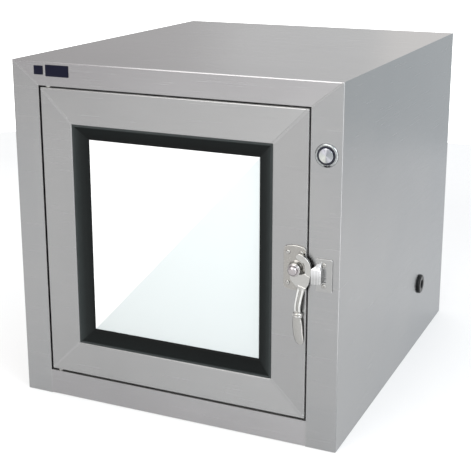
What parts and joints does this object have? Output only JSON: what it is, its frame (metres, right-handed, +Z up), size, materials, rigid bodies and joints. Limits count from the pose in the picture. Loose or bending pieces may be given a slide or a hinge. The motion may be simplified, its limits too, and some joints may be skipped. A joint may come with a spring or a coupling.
{
  "type": "cleanroom pass box",
  "caption": "Stainless steel transfer hatch with a straight-through chamber, a glazed inset door with a cam latch at each end, and an interlock push button beside each door.",
  "frame": {"origin": "middle of the cabinet's base, on the surface that it stands on", "axes": "+Z up; -Y out of the front door; +X towards the front door's latch side; the rear end is the front end turned half a turn about Z"},
  "size_m": [0.559, 0.6812, 0.56],
  "materials": {
    "stainless": "satin",
    "lamp_glass": "clear",
    "white_plastic": "moulded",
    "reflector_aluminium": "bright",
    "white_enamel": "enamel",
    "grey_plastic": "moulded",
    "black_rubber": "matt",
    "badge_blue": "gloss",
    "window_glass": "clear",
    "hinge_steel": "bright",
    "bush_brass": "satin",
    "magnet_steel": "ground",
    "satin_nickel": "satin",
    "button_metal": "polished",
    "button_lens": "tinted"
  },
  "bodies": {
    "cabinet": {"badge_plates": "badge_blue", "bottom_skin": "stainless", "button_nuts": "button_metal", "button_switches": "grey_plastic", "cable_grommet": "black_rubber", "chamber_ceiling": "stainless", "chamber_floor": "stainless", "chamber_left_wall": "stainless", "chamber_ribs": "stainless", "chamber_right_wall": "stainless", "door_magnets": "magnet_steel", "front_button_bezel": "button_metal", "front_button_light_ring": "button_lens", "front_door_rebate": "stainless", "front_keeper": "satin_nickel", "hinge_pins": "hinge_steel", "interlock_controller": "grey_plastic", "keeper_screws": "hinge_steel", "lamp_ballast": "white_enamel", "left_side_skin": "stainless", "rear_button_bezel": "button_metal", "rear_button_light_ring": "button_lens", "rear_door_rebate": "stainless", "rear_keeper": "satin_nickel", "right_side_skin": "stainless", "terminal_block": "grey_plastic", "top_skin": "stainless", "uv_lamp_holders": "white_plastic", "uv_lamp_reflector": "reflector_aluminium", "uv_lamp_tube": "lamp_glass"},
    "front_door": {"front_armature_plate": "magnet_steel", "front_door_frame": "stainless", "front_door_panes": "window_glass", "front_door_seal": "black_rubber", "front_glass_spacer": "reflector_aluminium", "front_glazing_gasket": "black_rubber", "front_hinge_bushes": "bush_brass", "front_latch_base": "satin_nickel", "front_latch_knob": "satin_nickel", "front_latch_screws": "hinge_steel"},
    "rear_door": {"rear_armature_plate": "magnet_steel", "rear_door_frame": "stainless", "rear_door_panes": "window_glass", "rear_door_seal": "black_rubber", "rear_glass_spacer": "reflector_aluminium", "rear_glazing_gasket": "black_rubber", "rear_hinge_bushes": "bush_brass", "rear_latch_base": "satin_nickel", "rear_latch_knob": "satin_nickel", "rear_latch_screws": "hinge_steel"},
    "front_latch": {"front_latch_lever": "satin_nickel"},
    "rear_latch": {"rear_latch_lever": "satin_nickel"},
    "front_button": {"front_button_cap": "button_metal"},
    "rear_button": {"rear_button_cap": "button_metal"}
  },
  "joints": [
    {"name": "front_door_swing", "type": "hinge", "parent": "cabinet", "child": "front_door", "pos_m": [-0.212, -0.313, 0.28], "axis": [0, 0, -1], "range_deg": [0, 110]},
    {"name": "front_latch_turn", "type": "hinge", "parent": "front_door", "child": "front_latch", "pos_m": [0.2085, -0.3255, 0.2835], "axis": [0, 1, 0], "range_deg": [0, 90]},
    {"name": "front_button_press", "type": "slide", "parent": "cabinet", "child": "front_button", "axis": [0, 1, 0], "range_m": [0, 0.003], "stiffness_N_per_m": 400, "springref_m": -0.003},
    {"name": "rear_door_swing", "type": "hinge", "parent": "cabinet", "child": "rear_door", "pos_m": [0.212, 0.313, 0.28], "axis": [0, 0, -1], "range_deg": [0, 110]},
    {"name": "rear_latch_turn", "type": "hinge", "parent": "rear_door", "child": "rear_latch", "pos_m": [-0.2085, 0.3255, 0.2835], "axis": [0, -1, 0], "range_deg": [0, 90]},
    {"name": "rear_button_press", "type": "slide", "parent": "cabinet", "child": "rear_button", "axis": [0, -1, 0], "range_m": [0, 0.003], "stiffness_N_per_m": 400, "springref_m": -0.003}
  ]
}
